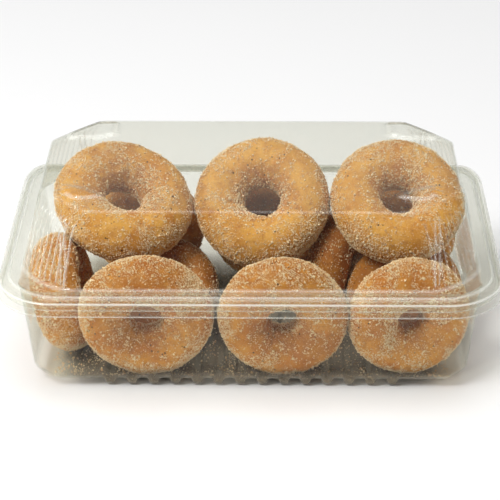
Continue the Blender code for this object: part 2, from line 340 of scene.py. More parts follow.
class Bake(Enum):
    """How far a ring was fried; the darkest tones are painted shade for the rings inside the box."""

    GOLDEN = CrustTones((0.70, 0.362, 0.068, 1.0), (0.58, 0.250, 0.033, 1.0),
                        (0.36, 0.105, 0.015, 1.0), (0.46, 0.175, 0.055, 1.0), 0.50)
    # The 0.60 crown share paints shade on the upper part of these rings.
    TOASTED = CrustTones((0.66, 0.300, 0.044, 1.0), (0.52, 0.185, 0.020, 1.0),
                         (0.35, 0.105, 0.012, 1.0), (0.42, 0.158, 0.045, 1.0), 0.34, 0.60)
    # Darker tones: painted shade on the rings inside the box.
    INNER_SHADE = CrustTones((0.50, 0.190, 0.024, 1.0), (0.38, 0.122, 0.013, 1.0),
                      (0.21, 0.055, 0.007, 1.0), (0.26, 0.080, 0.018, 1.0), 0.22)


@dataclass(frozen=True)
class Crust:
    """The finish of one fried ring, by distance from its hole."""

    name: str
    centre: Vector
    turn: Euler
    ring_radius: float
    tones: CrustTones
    speck: Rgba = (0.030, 0.014, 0.008, 1.0)
    dust: Rgba = (0.80, 0.53, 0.25, 1.0)
    # World heights over which painted shade darkens the ring's upper part.
    shade_heights: tuple[float, float] = (54.0 * MM, 68.0 * MM)
    patch_shift: float = 0.0

    def build(self) -> bpy.types.Material:
        """Makes the material: golden patches, reddish round the hole, painted shade on its upper part,
        specks and sugar dust.
        """
        graph, tones = Graph(self.name), self.tones
        place = graph.place_about(self.centre, self.turn)
        shifted = graph.vector("ADD", place, (self.patch_shift, 0.31 * self.patch_shift, 0.0))
        radius = graph.length(graph.vector("MULTIPLY", place, (1.0, 1.0, 0.0))) / self.ring_radius
        inward = radius.ramp(1.05, 0.55)
        mottle = graph.noise(shifted, 260.0, 4.0, 0.65)
        fine = graph.noise(shifted, 1500.0, 3.0, 0.7)
        patches = graph.noise(shifted, 55.0, 4.0, 0.6).ramp(0.38, 0.60)
        red = graph.noise(shifted, 34.0, 3.0, 0.6).ramp(0.52, 0.70)
        # Painted shade: the ring's upper part, by world height, is darkened towards brown.
        *_, height = graph.split(graph.place())
        top = height.ramp(*self.shade_heights)
        dust = fine.ramp(0.50, 0.60) * graph.noise(shifted, 120.0, 3.0).ramp(0.30, 0.66)
        rare = graph.noise(shifted, 190.0, 1.0).ramp(0.54, 0.60)
        tone = graph.colour_mix(patches, tones.golden, tones.light)
        # The second layer paints shade on the ring's upper part.
        for share, over in ((red * 0.55, tones.brown),
                            (top * mottle.ramp(0.30, 0.55) * tones.crown, tones.brown),
                            (mottle.ramp(0.48, 0.72) * 0.60, tones.brown),
                            (inward * mottle.ramp(0.25, 0.7) * 0.85, tones.spice),
                            (dust * tones.dusting, self.dust),
                            (graph.cells(shifted, 360.0).ramp(0.22, 0.14) * rare, self.speck)):
            tone = graph.colour_mix(share, tone, over)
        relief = mottle * 0.45 + fine * 0.35 + graph.cells(shifted, 900.0) * 0.2
        return graph.finish(graph.principled({
            "Base Color": tone, "Roughness": 0.62 + mottle * 0.2,
            "Subsurface Weight": 0.08, "Subsurface Radius": (0.9, 0.45, 0.2),
            "Subsurface Scale": 1.5 * MM, "Specular IOR Level": 0.35,
            "Normal": graph.bump(relief, 0.55 * MM, 0.9)}))


@dataclass(frozen=True)
class SugarFinish:
    """The finish of sugar grains, some clear white and some stained by spice."""

    name: str
    white: Rgba = (0.91, 0.75, 0.50, 1.0)
    stained: Rgba = (0.78, 0.50, 0.24, 1.0)

    def build(self) -> bpy.types.Material:
        """Makes the material."""
        graph = Graph(self.name)
        place = graph.place()
        stain = graph.noise(place, 420.0, 2.0).ramp(0.46, 0.66)
        tone = graph.colour_mix(stain, self.white, self.stained)
        sparkle = graph.noise(place, 2600.0, 1.0)
        return graph.finish(graph.principled({
            "Base Color": tone, "Roughness": sparkle * 0.4 + 0.12,
            "Subsurface Weight": 0.12, "Subsurface Radius": (0.8, 0.7, 0.5),
            "Subsurface Scale": 0.6 * MM, "Specular IOR Level": 0.6}))


@dataclass(frozen=True)
class StudioFloor:
    """The finish of the pale floor."""

    name: str = "studio_floor"

    def build(self) -> bpy.types.Material:
        """Makes the material."""
        graph = Graph(self.name)
        cloud = graph.noise(graph.place(), 2.0, 2.0)
        tone = graph.colour_mix(cloud, (0.86, 0.86, 0.86, 1.0), (0.89, 0.89, 0.89, 1.0))
        return graph.finish(graph.principled(
            {"Base Color": tone, "Roughness": 0.75, "Specular IOR Level": 0.2}))


def smooth(value: np.ndarray | float, low: float, high: float) -> Any:
    """Rises smoothly from 0 at low to 1 at high; falls where low is above high."""
    share = np.clip((np.asarray(value, dtype=float) - low) / (high - low), 0.0, 1.0)
    return share * share * (3.0 - 2.0 * share)


def fractal(points: np.ndarray, scale: float, seed: Vector, roughness: float = 1.0,
            spacing: float = 2.0, octaves: int = 3) -> np.ndarray:
    """Reads a fractal noise at each point, with each octave finer by the spacing."""
    return np.array([noise.fractal(Vector(p) * scale + seed, roughness, spacing, octaves)
                     for p in points])


def make_object(name: str, points: np.ndarray, faces: Sequence[Sequence[int]],
                material: bpy.types.Material, shade_smooth: bool = True) -> bpy.types.Object:
    """Makes a mesh object from points and faces.

    Args:
        name: The object's name.
        points: One row for each vertex.
        faces: Vertex indices of each face.
        material: Its only material.
        shade_smooth: False keeps its facets.

    Returns:
        The object, linked to the scene.
    """
    mesh = bpy.data.meshes.new(name)
    faces = faces.tolist() if isinstance(faces, np.ndarray) else [list(face) for face in faces]
    mesh.from_pydata(np.asarray(points, dtype=float).tolist(), [], faces)
    mesh.validate()
    mesh.update()
    if shade_smooth:
        mesh.shade_smooth()
    mesh.materials.append(material)
    made = bpy.data.objects.new(name, mesh)
    bpy.context.collection.objects.link(made)
    return made


def paint_highlights(made: bpy.types.Object, painted_highlights: np.ndarray) -> None:
    """Stores the painted highlight along the sheet's bends at each vertex, from 0 to 1."""
    layer = made.data.attributes.new(HIGHLIGHT_ATTRIBUTE, "FLOAT", "POINT")
    layer.data.foreach_set("value", np.clip(painted_highlights, 0.0, 1.0).astype(np.float32))


@dataclass(frozen=True)
class Corner:
    """How far a rounded corner reaches along X and Y, and how round it is."""

    reach_x: float
    reach_y: float
    power: float = 2.0

    def points(self, half_x: float, half_y: float, shares: np.ndarray) -> np.ndarray:
        """Lists points from the corner's side, at share 0, to its front, at share 1."""
        angle = np.arcsin(np.sqrt(shares))
        x = half_x - self.reach_x * (1.0 - np.cos(angle) ** (2.0 / self.power))
        y = half_y - self.reach_y * (1.0 - np.sin(angle) ** (2.0 / self.power))
        return np.stack([x, y], axis=1)


@dataclass(frozen=True)
class Ring:
    """A level line round a sheet, from its half sizes, its height and its corners."""

    half_x: float
    front: float
    back: float
    z: float
    front_corner: Corner
    back_corner: Corner

    def mixed(self, other: "Ring", share: float) -> "Ring":
        """Gives the ring that lies between this one and another."""
        def blend(a: float, b: float) -> float:
            return a + (b - a) * share

        def corner(a: Corner, b: Corner) -> Corner:
            return Corner(blend(a.reach_x, b.reach_x), blend(a.reach_y, b.reach_y),
                          blend(a.power, b.power))

        return Ring(blend(self.half_x, other.half_x), blend(self.front, other.front),
                    blend(self.back, other.back), blend(self.z, other.z),
                    corner(self.front_corner, other.front_corner),
                    corner(self.back_corner, other.back_corner))


class Level(NamedTuple):
    """A ring of a sheet, with its share of the ribs or flutes and its painted highlight."""

    ring: Ring
    relief: float
    bend: float


def even_ring(half_x: float, half_y: float, z: float, corner: Corner) -> Ring:
    """Gives a ring that is the same in front and behind."""
    return Ring(half_x, half_y, half_y, z, corner, corner)


def rounded(radius: float, angle_deg: float) -> tuple[float, float]:
    """Gives the inset and the rise of a rounded edge at an angle up from its level end."""
    turn = math.radians(angle_deg)
    return radius * (1 - math.sin(turn)), radius * (1 - math.cos(turn))


def rim_level(row: tuple[float, float, float, float, float], wall: Corner) -> Level:
    """Gives one ring of a stepped rim.

    Args:
        row: Its inset and its inset behind in millimetres, its height, its share of the way
        from the wall's corners to the rim's, and its painted highlight.
        wall: The wall's corners.

    Returns:
        The ring, with no ribs or flutes.
    """
    inset, back_inset, z, share, bend = row
    inset, back_inset = inset * MM, back_inset * MM
    near, far = (Corner(reach_x - inset / 2, reach_y - inset / 2, RIM_CORNER_POWER)
                 for reach_x, reach_y in (FRONT_RIM_CORNER, BACK_RIM_CORNER))
    full = Ring(RIM_HALF_WIDTH - inset, RIM_HALF_DEPTH - inset, RIM_HALF_DEPTH - back_inset, z,
                near, far)
    bare = replace(full, front_corner=wall, back_corner=wall)
    return Level(bare.mixed(full, share), 0.0, bend)


@dataclass
class Loop:
    """The columns that every ring of one sheet has, and where each lies on its ring.

    The columns in front and behind are at shares of each ring's straight stretch, or at the
    same places along X on every ring where they are fixed.
    """

    corner_shares: np.ndarray
    front_xs: np.ndarray
    side_shares: np.ndarray
    fixed: bool = False

    def points(self, ring: Ring) -> np.ndarray:
        """Places the columns on a ring, counter-clockwise from its left front corner."""
        near = ring.front_corner.points(ring.half_x, ring.front, self.corner_shares)
        far = ring.back_corner.points(ring.half_x, ring.back, self.corner_shares)
        front_xs, back_xs = (
            self.front_xs * (1.0 if self.fixed else ring.half_x - corner.reach_x)
            for corner in (ring.front_corner, ring.back_corner))
        low, high = ring.front - ring.front_corner.reach_y, ring.back - ring.back_corner.reach_y
        sides = -low + (low + high) * self.side_shares
        flat = np.concatenate([
            near * (-1, -1),
            np.stack([front_xs, np.full_like(front_xs, -ring.front)], axis=1),
            near[::-1] * (1, -1),
            np.stack([np.full_like(sides, ring.half_x), sides], axis=1),
            far,
            np.stack([back_xs[::-1], np.full_like(back_xs, ring.back)], axis=1),
            far[::-1] * (-1, 1),
            np.stack([np.full_like(sides, -ring.half_x), sides[::-1]], axis=1),
        ])
        return np.column_stack([flat, np.full(len(flat), ring.z)])

    @property
    def starts(self) -> dict[str, int]:
        """The first column of each stretch round the ring."""
        c, f, s = len(self.corner_shares), len(self.front_xs), len(self.side_shares)
        names = ("front_left", "front", "front_right", "right",
                 "back_right", "back", "back_left", "left", "end")
        lengths = (c, f, c, s, c, f, c, s)
        return dict(zip(names, np.concatenate([[0], np.cumsum(lengths)]).tolist()))


def outward(points: np.ndarray) -> np.ndarray:
    """Gives the level direction out of a ring at each of its points."""
    along = np.roll(points, -1, axis=0) - np.roll(points, 1, axis=0)
    normal = np.column_stack([along[:, 1], -along[:, 0], np.zeros(len(along))])
    return normal / np.maximum(np.linalg.norm(normal, axis=1, keepdims=True), 1e-12)


def wall_faces(levels: int, count: int, open_from: int = 0,
               gap: range = range(0)) -> list[tuple[int, ...]]:
    """Lists the faces between a sheet's rings.

    Args:
        levels: How many rings there are.
        count: How many columns each has.
        open_from: The first ring below which the gap is left.
        gap: The columns left open from there on.

    Returns:
        The vertex indices of each face.
    """
    faces = []
    for level in range(levels - 1):
        first, second = level * count, (level + 1) * count
        for a in range(count):
            b = (a + 1) % count
            if level < open_from or a not in gap:
                faces.append((first + a, first + b, second + b, second + a))
    return faces


def thicken(sheet: bpy.types.Object, outward_side: float) -> None:
    """Drops a skin's loose points, turns its faces out and gives it the sheet's thickness inward.

    Args:
        sheet: The object, whose mesh is the outer skin.
        outward_side: 1 where the largest level face looks up, or -1 where it looks down.
    """
    mesh = bmesh.new()
    mesh.from_mesh(sheet.data)
    bmesh.ops.delete(mesh, geom=[v for v in mesh.verts if not v.link_faces], context="VERTS")
    bmesh.ops.recalc_face_normals(mesh, faces=mesh.faces)
    level = sum(face.calc_area() * face.normal.z for face in mesh.faces)
    if level * outward_side < 0:
        bmesh.ops.reverse_faces(mesh, faces=mesh.faces)
    mesh.to_mesh(sheet.data)
    mesh.free()
    modifier = sheet.modifiers.new("sheet", "SOLIDIFY")
    modifier.thickness = SHEET
    modifier.offset = -1.0


def rib_depth(xs: np.ndarray) -> np.ndarray:
    """Gives how deep the tray's floor hangs at each place along X, from 0 to 1 on a rib."""
    middles = RIB_CENTRE_X + (np.arange(RIB_COUNT) - (RIB_COUNT - 1) / 2) * RIB_PITCH
    away = np.min(np.abs(xs[:, None] - middles[None]), axis=1)
    return smooth(away, RIB_FOOT_HALF_WIDTH, RIB_FLAT_HALF_WIDTH)


@dataclass
class Tray:
    """The ribbed tray, from its floor to its turned-down lip."""

    finish: ClearSheet
    rib_step: float = 0.76 * MM
    corner: Corner = Corner(TRAY_CORNER, TRAY_CORNER, 1.3)
    edge_angles: tuple[int, ...] = (0, 8, 16, 24, 31, 38, 44, 50, 56, 62, 68, 76, 84, 90)
    wall_shares: tuple[float, ...] = (0.2, 0.4, 0.6, 0.8, 0.93, 0.98)

    def columns(self) -> Loop:
        """Places the columns: fine along the ribs, and round the corners."""
        reach = (RIB_COUNT / 2) * RIB_PITCH
        count = int(2 * reach / self.rib_step)
        xs = np.linspace(-reach, reach, count) + RIB_CENTRE_X
        return Loop(np.linspace(0.0, 1.0, 17), xs, np.linspace(0.05, 0.95, 9), fixed=True)

    def wall_levels(self) -> list[Level]:
        """Lists rings up the rounded lower edge, which the ribs run into, and up the wall."""
        levels = []
        for angle in self.edge_angles:
            inset, rise = rounded(FLOOR_EDGE_RADIUS, angle)
            ribs = 1.0 + 0.1 * angle / 35.0 if angle < 36 else 1.1
            ribs *= float(smooth(angle, 64.0, 36.0))
            ring = even_ring(FLOOR_HALF_WIDTH - inset, FLOOR_HALF_DEPTH - inset, FLOOR_Z + rise,
                             self.corner)
            levels.append(Level(ring, ribs, 0.0))
        foot = levels[-1].ring
        top = even_ring(WALL_FOOT_HALF_WIDTH, WALL_FOOT_HALF_DEPTH, TRAY_FLANGE_Z, self.corner)
        return levels + [Level(foot.mixed(top, share), 0.0, 0.0) for share in self.wall_shares]

    def rim_levels(self) -> list[Level]:
        """Lists rings along the stepped flange and down the lip."""
        high, low = TRAY_FLANGE_Z, TRAY_FLANGE_Z - FLANGE_STEP_DROP
        return [rim_level(row, self.corner) for row in (
            (12.2, 12.2, high - 0.15 * MM, 0.0, 0.3), (11.6, 11.6, high, 0.15, 0.0),
            (9.0, 9.0, high, 0.6, 0.0), (7.1, 7.1, high, 0.9, 0.0),
            (6.6, 6.6, high - 0.25 * MM, 1.0, 0.3), (5.6, 5.6, low + 0.3 * MM, 1.0, 0.0),
            (5.0, 5.0, low, 1.0, 0.0), (3.3, 1.1, low, 1.0, 0.2),
            (2.9, 0.7, low - 0.2 * MM, 1.0, 0.5), (2.8, 0.6, low - 0.7 * MM, 1.0, 0.0),
            (2.8, 0.6, low - 2.4 * MM, 1.0, 0.0), (2.8, 0.6, low - 2.9 * MM, 1.0, 0.4),
            (2.9, 0.8, low - 3.2 * MM, 1.0, 0.6))]

    def build(self) -> bpy.types.Object:
        """Makes the tray.

        Returns:
            The tray, riding on the base in place of its node.
        """
        loop = self.columns()
        starts = loop.starts
        count = starts["end"]
        levels = self.wall_levels() + self.rim_levels()
        depth = rib_depth(loop.front_xs) * FLOOR_Z
        points, painted_highlights = [], []
        for level in levels:
            row = loop.points(level.ring)
            row[starts["front"]:starts["front_right"], 2] -= depth * level.relief
            row[starts["back"]:starts["back_left"], 2] -= depth[::-1] * level.relief
            points.append(row)
            # Painted highlights along the rim's bends.
            painted_highlights.append(np.full(count, level.bend))
        faces = wall_faces(len(levels), count)
        front = list(range(starts["front"], starts["front_right"]))
        back = list(range(starts["back"], starts["back_left"]))[::-1]
        for a in range(len(front) - 1):
            faces.append((front[a], back[a], back[a + 1], front[a + 1]))
        left = list(range(starts["back_left"], count)) + list(range(starts["front"]))
        right = list(range(starts["front_right"], starts["back"]))
        faces.append((*left, front[0], back[0]))
        faces.append((*right, back[-1], front[-1]))
        tray = make_object("clear_tray", np.concatenate(points), faces, self.finish.build())
        paint_highlights(tray, np.concatenate(painted_highlights))
        thicken(tray, -1.0)
        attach(tray, Body.BASE.value)
        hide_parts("tray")
        return tray


@dataclass(frozen=True)
class Lugs:
    """The stacking lugs on the lid's top: a lens with a dimple in front, an S step behind.

    Places and lengths but the rise are in millimetres, from the lid's middle, and alike on its
    left and right.
    """

    rise: float = 1.6 * MM
    lens_middle: tuple[float, float] = (86.5, -32.0)
    lens_lean: tuple[float, float] = (0.86, 0.5)
    lens_half_length: float = 13.0
    lens_front: float = 10.5
    lens_back: float = -6.0
    dimple_middle: tuple[float, float] = (80.0, -31.5)
    dimple_share: float = 0.6
    step_line: float = 28.5
    step_shift: float = 7.0
    step_wave: float = 2.6
    # Painted highlight along the lugs' steep edges.
    bend: float = 0.55

    def height(self, xs: np.ndarray, ys: np.ndarray) -> np.ndarray:
        """Gives the lugs' height above the top at each place."""
        away, depth = np.abs(xs) / MM, ys / MM
        off_x, off_y = away - self.lens_middle[0], depth - self.lens_middle[1]
        cosine, sine = self.lens_lean
        across = off_x * sine - off_y * cosine
        bow = np.clip(1.0 - ((off_x * cosine + off_y * sine) / self.lens_half_length) ** 2, 0.0, None)
        front = self.lens_front * bow
        lens = smooth(across, front, front - 1.3) * smooth(across, self.lens_back * bow, 3.0)
        lens = np.where(bow > 0.02, lens, 0.0)
        dimple = smooth(np.hypot(away - self.dimple_middle[0], depth - self.dimple_middle[1]), 2.6, 1.2)
        line = (self.step_line + self.step_shift * smooth(away, 94.0, 76.0)
                - self.step_wave * np.sin((away - 75.0) / 24.0 * 2 * math.pi))
        corner = (LID_HALF_WIDTH + LID_HALF_DEPTH - LID_TOP_CORNER) / MM
        step = smooth(depth, line, line + 1.4) * smooth(away + depth, corner - 6.0, corner - 8.0)
        step *= smooth(depth, 51.5, 49.8) * smooth(away, 100.5, 98.8) * smooth(away, 74.0, 75.8)
        return self.rise * np.maximum(lens - self.dimple_share * dimple * lens, step)

    def painted_highlights(self, points: np.ndarray) -> np.ndarray:
        """Gives the painted highlight along the lugs' steep edges at each point."""
        step = 0.4 * MM
        xs, ys = points[:, 0], points[:, 1]
        slope_x = self.height(xs + step, ys) - self.height(xs - step, ys)
        slope_y = self.height(xs, ys + step) - self.height(xs, ys - step)
        return smooth(np.hypot(slope_x, slope_y) / (2 * step), 0.35, 1.2) * self.bend


@dataclass
class Lid:
    """The lid, from its lugged top down its fluted corners to its skirt."""

    finish: ClearSheet
    corner_steps: int = 108
    top_columns: int = 85
    top_corner_power: float = 1.12
    edge_angles: tuple[int, ...] = (0, 15, 30, 45, 60, 72)
    # Painted highlights along the rounded top edge and the flutes' ridges.
    edge_highlight: float = 0.10
    wall_shares: tuple[float, ...] = (0.06, 0.11, 0.14, 0.17, 0.20, 0.24, 0.28, 0.36, 0.46, 0.56,
                                      0.66, 0.76, 0.82, 0.87, 0.91, 0.94, 0.965)
    foot_corner: Corner = Corner(LID_FOOT_CORNER + 3.0 * MM, LID_FOOT_CORNER + 3.0 * MM, 1.5)
    shoulder: float = 3.6 * MM
    shoulder_end: float = 0.30
    flutes: int = 9
    flute_depth: float = 0.95 * MM
    flute_highlight: float = 0.8
    flute_shares: tuple[tuple[str, float], ...] = (
        ("front_left", 1.0), ("front_right", 0.35), ("back_right", 0.25), ("back_left", 0.25))
    pillar_depth: float = 0.8 * MM
    pillar_places: tuple[float, float] = (93.6 * MM, 96.0 * MM)
    pillar_spread: float = 0.5 * MM
    sag: float = 0.35 * MM
    skirt_levels: int = 5
    lugs: Lugs = Lugs()

    def columns(self) -> Loop:
        """Places the columns: fine round the fluted corners and beside them."""
        straight_mm = 93.0
        fine = np.arange(0.2, 5.8, 0.28)
        coarse = [7.0, 9.0, 14.0, 22.0, 34.0, 50.0, 70.0]
        near = 1.0 - np.concatenate([fine, coarse]) / straight_mm
        xs = np.concatenate([-near, [0.0], near[::-1]])
        sides = np.linspace(0.02, 0.98, 25)
        return Loop(np.linspace(0.0, 1.0, self.corner_steps + 1), xs, sides)

    def top_ring(self, inset: float, drop: float) -> Ring:
        """Gives a ring of the lid's rounded top edge."""
        reach = LID_TOP_CORNER - inset * 0.4
        return even_ring(LID_HALF_WIDTH - inset, LID_HALF_DEPTH - inset, LID_TOP_Z - drop,
                         Corner(reach, reach, self.top_corner_power))

    def drawn_in(self, ring: Ring, share: float) -> Ring:
        """Cuts a ring's corners back by a share of the shoulder above the flutes."""
        more = self.shoulder * share
        near, far = (Corner(corner.reach_x + more, corner.reach_y + more, corner.power)
                     for corner in (ring.front_corner, ring.back_corner))
        return replace(ring, front_corner=near, back_corner=far)

    def wall_levels(self) -> list[Level]:
        """Lists rings from the rounded top edge down the fluted wall to the flange."""
        levels = []
        for angle in self.edge_angles:
            edge = self.top_ring(*rounded(LID_EDGE_RADIUS, angle))
            # Painted highlight along the rounded top edge.
            bend = self.edge_highlight if 10 < angle < 50 else 0.0
            levels.append(Level(self.drawn_in(edge, 1.0), 0.0, bend))
        crown = self.top_ring(0.0, LID_EDGE_RADIUS)
        foot = even_ring(WALL_FOOT_HALF_WIDTH, WALL_FOOT_HALF_DEPTH, FLANGE_TOP_Z, self.foot_corner)
        for share in self.wall_shares:
            flute = float(smooth(share, 0.05, 0.14) * smooth(share, 0.98, 0.92))
            shoulder = max(0.0, 1.0 - share / self.shoulder_end) ** 2
            levels.append(Level(self.drawn_in(crown.mixed(foot, share), shoulder), flute, 0.0))
        return levels

    def rim_levels(self) -> list[Level]:
        """Lists rings along the stepped flange and down the skirt."""
        high, low, end = FLANGE_TOP_Z, FLANGE_TOP_Z - FLANGE_STEP_DROP, SKIRT_BOTTOM_Z
        return [rim_level(row, self.foot_corner) for row in (
            (12.3, 12.3, high + 0.25 * MM, 0.0, 0.4), (11.7, 11.7, high, 0.1, 0.4),
            (11.1, 11.1, high, 0.2, 0.0), (9.0, 9.0, high, 0.6, 0.0),
            (6.8, 6.8, high, 0.92, 0.0), (6.4, 6.4, high, 0.95, 0.6),
            (6.0, 6.0, high - 0.15 * MM, 1.0, 0.7), (5.2, 5.2, high - 0.75 * MM, 1.0, 0.1),
            (4.5, 4.5, low + 0.12 * MM, 1.0, 0.0), (4.0, 4.0, low, 1.0, 0.0),
            (1.9, 0.9, low, 1.0, 0.0), (1.5, 0.5, low, 1.0, 0.9),
            (1.05, 0.1, low - 0.18 * MM, 1.0, 1.0), (0.8, 0.0, low - 0.6 * MM, 1.0, 0.8),
            (0.75, 0.0, low - 1.0 * MM, 1.0, 0.1), (0.55, 0.0, low - 2.5 * MM, 1.0, 0.0),
            (0.3, 0.0, low - 5.0 * MM, 1.0, 0.0), (0.1, 0.0, end + 0.9 * MM, 1.0, 0.0),
            (0.05, 0.0, end + 0.3 * MM, 1.0, 0.7), (0.0, 0.0, end, 1.0, 0.7))]

    def flute_relief(self, loop: Loop) -> tuple[np.ndarray, np.ndarray]:
        """Works out the flutes round the corners.

        Args:
            loop: The lid's columns.

        Returns:
            How far each column stands out at full depth, and its painted highlight along the ridges.
        """
        starts, shares = loop.starts, loop.corner_shares
        push, painted_highlights = np.zeros(starts["end"]), np.zeros(starts["end"])
        off_ridge = (self.flutes * shares) % 1.0 - 0.5
        inner = smooth(shares, 0.0, 0.05) * smooth(shares, 1.0, 0.95)
        ridge = 1.25 * np.exp(-(off_ridge / 0.17) ** 2) - 0.25
        for name, share in self.flute_shares:
            span = slice(starts[name], starts[name] + len(shares))
            push[span] = ridge * inner * self.flute_depth * math.sqrt(share)
            painted_highlights[span] = self.flute_highlight * share * inner * np.exp(-(off_ridge / 0.11) ** 2)
        return push, painted_highlights

    def pillars(self, row: np.ndarray) -> np.ndarray:
        """Gives the share by which upright pillars stand out at a ring's points."""
        away = np.abs(row[:, 0])[:, None] - np.array(self.pillar_places)[None]
        return np.exp(-(away / self.pillar_spread) ** 2).sum(axis=1)

    def top_grid(self, loop: Loop, border: np.ndarray,
                 first: int) -> tuple[np.ndarray, list[tuple[int, ...]]]:
        """Lays the lid's top inside its first ring, with a stacking lug at each corner.

        Args:
            loop: The lid's columns.
            border: The first ring's points.
            first: The index that the first new vertex gets.

        Returns:
            The new points, and the faces that join them and the ring.
        """
        starts = loop.starts
        left = [*range(starts["back_left"], starts["end"]), *range(starts["front"])][::-1]
        right = list(range(starts["front_right"], starts["back"]))
        shares = np.linspace(-1.0, 1.0, self.top_columns)[1:-1]
        rows, ids = [], []
        for low, high in zip(left, right):
            xs = shares * border[high, 0]
            rows.append(np.column_stack([xs, np.full(len(xs), border[low, 1]),
                                         np.full(len(xs), LID_TOP_Z)]))
            ids.append([low, *range(first, first + len(xs)), high])
            first += len(xs)
        points = np.concatenate(rows)
        xs, ys = points[:, 0], points[:, 1]
        lift = self.lugs.height(xs, ys) - self.sag * np.cos(xs / 0.07) * smooth(np.abs(ys), 0.05, 0.0)
        points[:, 2] += lift
        faces = []
        for a in range(len(ids) - 1):
            for b in range(len(ids[a]) - 1):
                faces.append((ids[a][b], ids[a][b + 1], ids[a + 1][b + 1], ids[a + 1][b]))
        front = [left[0], *range(starts["front"], starts["front_right"]), right[0]]
        back = [right[-1], *range(starts["back"], starts["back_left"]), left[-1]]
        faces.append(tuple(front[1:-1] + ids[0][::-1]))
        faces.append(tuple(back[1:-1] + ids[-1]))
        return points, faces

    def build(self) -> bpy.types.Object:
        """Makes the lid.

        Returns:
            The lid, riding on the lid body in place of its node.
        """
        loop = self.columns()
        starts = loop.starts
        count = starts["end"]
        levels = self.wall_levels() + self.rim_levels()
        push, flute_highlights = self.flute_relief(loop)
        points, painted_highlights = [], []
        for level in levels:
            row = loop.points(level.ring)
            pillar = self.pillars(row)
            relief = (push + pillar * self.pillar_depth) * level.relief
            points.append(row + outward(row) * relief[:, None])
            # Painted highlights along the flutes, the pillars and the rim's bends.
            painted_highlights.append((flute_highlights + pillar ** 3) * level.relief + level.bend)
        faces = wall_faces(len(levels), count, len(levels) - self.skirt_levels,
                           range(starts["back_right"], starts["left"] - 1))
        top_points, top_faces = self.top_grid(loop, points[0], len(levels) * count)
        lid = make_object("clear_lid", np.concatenate([*points, top_points]),
                          faces + top_faces, self.finish.build())
        paint_highlights(lid, np.concatenate([*painted_highlights, self.lugs.painted_highlights(top_points)]))
        thicken(lid, 1.0)
        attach(lid, Body.LID.value)
        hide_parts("lid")
        return lid


@dataclass(frozen=True)
class Grain:
    """A small grain's shape, from its corners at half size 1 and its faces."""

    corners: tuple[tuple[float, float, float], ...]
    sides: tuple[tuple[int, int, int], ...]

    def scatter(self, centres: np.ndarray, sizes: np.ndarray,
                rng: np.random.Generator) -> tuple[np.ndarray, np.ndarray]:
        """Places a turned and stretched copy at each centre.

        Args:
            centres: One row for each grain.
            sizes: Each grain's half size.
            rng: The source of its random turns and proportions.

        Returns:
            The points, and the faces as rows of indices.
        """
        count, corners = len(centres), np.array(self.corners, float)
        stretch = rng.uniform(0.8, 1.2, (count, 1, 3))
        jitter = rng.uniform(-0.22, 0.22, (count, len(corners), 3))
        turns = rng.normal(size=(count, 4))
        turns /= np.linalg.norm(turns, axis=1, keepdims=True)
        w, x, y, z = turns.T
        rotation = np.stack([
            np.stack([1 - 2 * (y * y + z * z), 2 * (x * y - z * w), 2 * (x * z + y * w)], axis=-1),
            np.stack([2 * (x * y + z * w), 1 - 2 * (x * x + z * z), 2 * (y * z - x * w)], axis=-1),
            np.stack([2 * (x * z - y * w), 2 * (y * z + x * w), 1 - 2 * (x * x + y * y)], axis=-1),
        ], axis=1)
        shape = (corners[None] * stretch + jitter) * sizes[:, None, None]
        points = np.einsum("nij,nkj->nki", rotation, shape) + centres[:, None]
        faces = np.array(self.sides)[None] + len(corners) * np.arange(count)[:, None, None]
        return points.reshape(-1, 3), faces.reshape(-1, 3)


@dataclass(frozen=True)
class Grading:
    """How large grains are: their usual half size, its spread, and the least and the most."""

    middle_mm: float
    spread: float
    least_mm: float
    most_mm: float

    def draw(self, count: int, rng: np.random.Generator) -> np.ndarray:
        """Draws half sizes."""
        sizes = rng.lognormal(math.log(self.middle_mm), self.spread, count)
        return np.clip(sizes, self.least_mm, self.most_mm) * MM


COARSE_GRAIN = Grain(
    ((1, 0, 0), (-1, 0, 0), (0, 1, 0), (0, -1, 0), (0, 0, 1), (0, 0, -1)),
    ((0, 2, 4), (2, 1, 4), (1, 3, 4), (3, 0, 4), (2, 0, 5), (1, 2, 5), (3, 1, 5), (0, 3, 5)))
FINE_GRAIN = Grain(
    ((0.8, 0.8, 0.8), (0.8, -0.8, -0.8), (-0.8, 0.8, -0.8), (-0.8, -0.8, 0.8)),
    ((0, 1, 2), (0, 3, 1), (0, 2, 3), (1, 3, 2)))


def joined_grains(name: str, parts: Sequence[tuple[np.ndarray, np.ndarray]],
                  material: bpy.types.Material) -> bpy.types.Object:
    """Joins scattered grains into one faceted mesh object."""
    points, faces, first = [], [], 0
    for part_points, part_faces in parts:
        points.append(part_points)
        faces.append(part_faces + first)
        first += len(part_points)
    return make_object(name, np.concatenate(points), np.concatenate(faces), material,
                       shade_smooth=False)


@dataclass(frozen=True)
class RingSpec:
    """One doughnut: its node's name, its place and its sizes, as in the CAD source, and its looks."""

    name: str
    centre_mm: tuple[float, float, float]
    azimuth_deg: float
    elevation_deg: float
    ring_radius_mm: float
    half_width_mm: float
    half_thickness_mm: float
    bake: Bake = Bake.GOLDEN
    is_inside: bool = False


